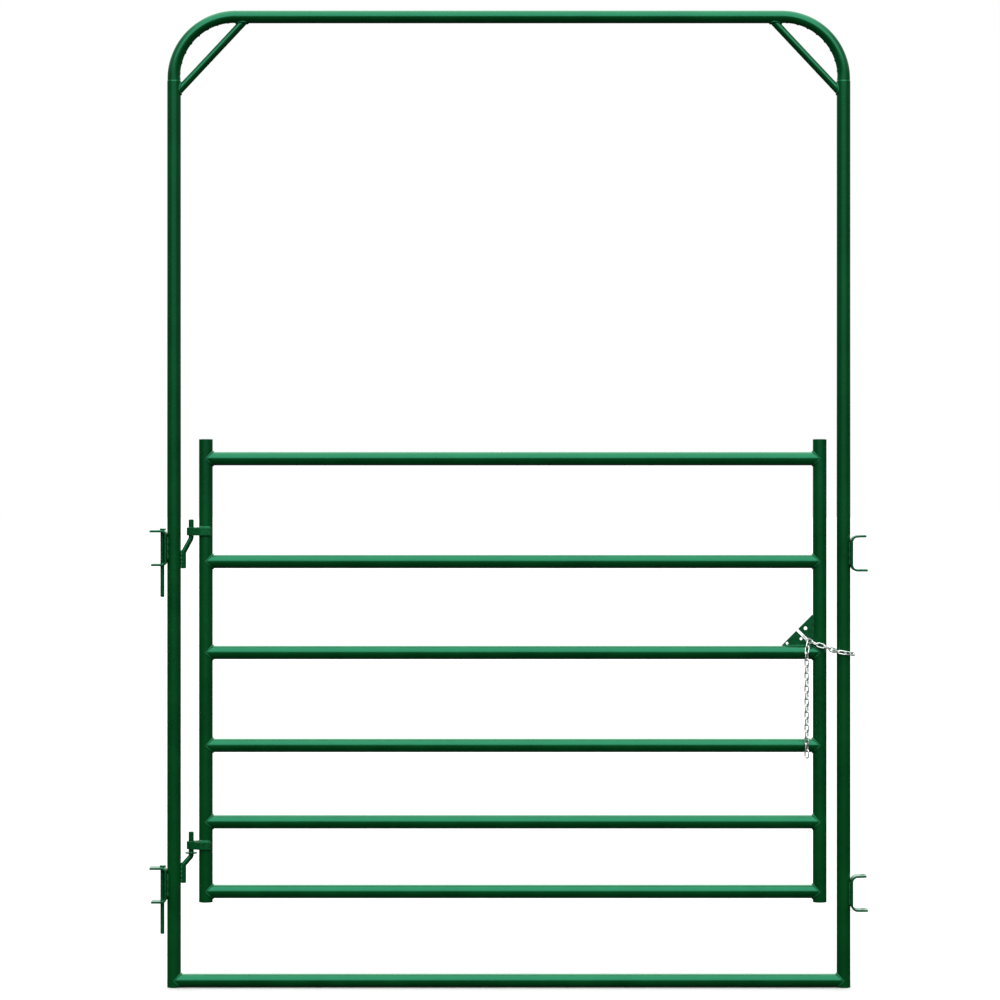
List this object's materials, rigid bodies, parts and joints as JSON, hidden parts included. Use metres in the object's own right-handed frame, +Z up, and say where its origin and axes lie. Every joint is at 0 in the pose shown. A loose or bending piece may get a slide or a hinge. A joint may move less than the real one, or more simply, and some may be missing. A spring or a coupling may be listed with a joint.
{
  "type": "livestock panel gate",
  "caption": "Tall tube bow frame with a railed swinging leaf on pin hinges, a chain latch in a slotted corner plate, and coupling clips with drop pins.",
  "frame": {"origin": "on the ground in the middle of the frame: halfway between the posts, halfway front to back, at the underside of the posts and bottom rail", "axes": "+Z up, +X towards the latch side, -Y towards the side the chain is on"},
  "size_m": [2.0002, 0.0654, 2.7243],
  "materials": {
    "green_powder_coat": "glossy powder coat on steel",
    "zinc_chain": "bright zinc plate"
  },
  "bodies": {
    "frame": {"frame_post_left": "green_powder_coat", "frame_post_right": "green_powder_coat", "top_bow": "green_powder_coat", "bottom_rail": "green_powder_coat", "corner_brace_left": "green_powder_coat", "corner_brace_right": "green_powder_coat", "hinge_rod_upper": "green_powder_coat", "hinge_rod_lower": "green_powder_coat", "hinge_washer_lower": "green_powder_coat", "clip_left_upper": "green_powder_coat", "clip_left_lower": "green_powder_coat", "clip_right_upper": "green_powder_coat", "clip_right_lower": "green_powder_coat", "chain_loop_01": "zinc_chain", "chain_loop_02": "zinc_chain", "chain_loop_03": "zinc_chain", "chain_loop_04": "zinc_chain", "chain_loop_05": "zinc_chain", "chain_loop_06": "zinc_chain", "chain_loop_07": "zinc_chain", "chain_loop_08": "zinc_chain", "chain_loop_09": "zinc_chain", "chain_loop_10": "zinc_chain"},
    "leaf": {"gate_stile_hinge_side": "green_powder_coat", "gate_stile_latch_side": "green_powder_coat", "rail_1": "green_powder_coat", "rail_2": "green_powder_coat", "rail_3": "green_powder_coat", "rail_4": "green_powder_coat", "rail_5": "green_powder_coat", "rail_6": "green_powder_coat", "hinge_eye_upper": "green_powder_coat", "hinge_eye_lower": "green_powder_coat", "latch_plate": "green_powder_coat"},
    "drop_pin_upper_body": {"drop_pin_upper": "green_powder_coat"},
    "drop_pin_lower_body": {"drop_pin_lower": "green_powder_coat"},
    "chain_run_body": {"chain_slot_link": "zinc_chain", "chain_run_01": "zinc_chain", "chain_run_02": "zinc_chain", "chain_run_03": "zinc_chain", "chain_run_04": "zinc_chain", "chain_run_05": "zinc_chain"},
    "chain_tail_body": {"chain_tail_01": "zinc_chain", "chain_tail_02": "zinc_chain", "chain_tail_03": "zinc_chain", "chain_tail_04": "zinc_chain", "chain_tail_05": "zinc_chain", "chain_tail_06": "zinc_chain", "chain_tail_07": "zinc_chain", "chain_tail_08": "zinc_chain", "chain_tail_09": "zinc_chain", "chain_tail_10": "zinc_chain", "chain_tail_11": "zinc_chain", "chain_tail_12": "zinc_chain", "chain_tail_13": "zinc_chain", "chain_tail_14": "zinc_chain", "chain_tail_15": "zinc_chain", "chain_tail_16": "zinc_chain", "chain_tail_17": "zinc_chain", "chain_tail_18": "zinc_chain"}
  },
  "joints": [
    {"name": "leaf_swing", "type": "hinge", "parent": "frame", "child": "leaf", "pos_m": [-0.8857, 0, 0.83], "axis": [0, 0, 1], "range_deg": [-110, 110]},
    {"name": "drop_pin_upper_lift", "type": "slide", "parent": "frame", "child": "drop_pin_upper_body", "axis": [0, 0, 1], "range_m": [0, 0.19]},
    {"name": "drop_pin_lower_lift", "type": "slide", "parent": "frame", "child": "drop_pin_lower_body", "axis": [0, 0, 1], "range_m": [0, 0.19]},
    {"name": "chain_unhook_swing", "type": "hinge", "parent": "frame", "child": "chain_run_body", "pos_m": [0.9131, -0.0158, 0.9374], "axis": [0, 0, 1], "range_deg": [0, 60]},
    {"name": "chain_tail_sway", "type": "hinge", "parent": "chain_run_body", "child": "chain_tail_body", "pos_m": [0.836, -0.012, 0.9675], "axis": [0, 1, 0], "range_deg": [-15, 22]}
  ]
}
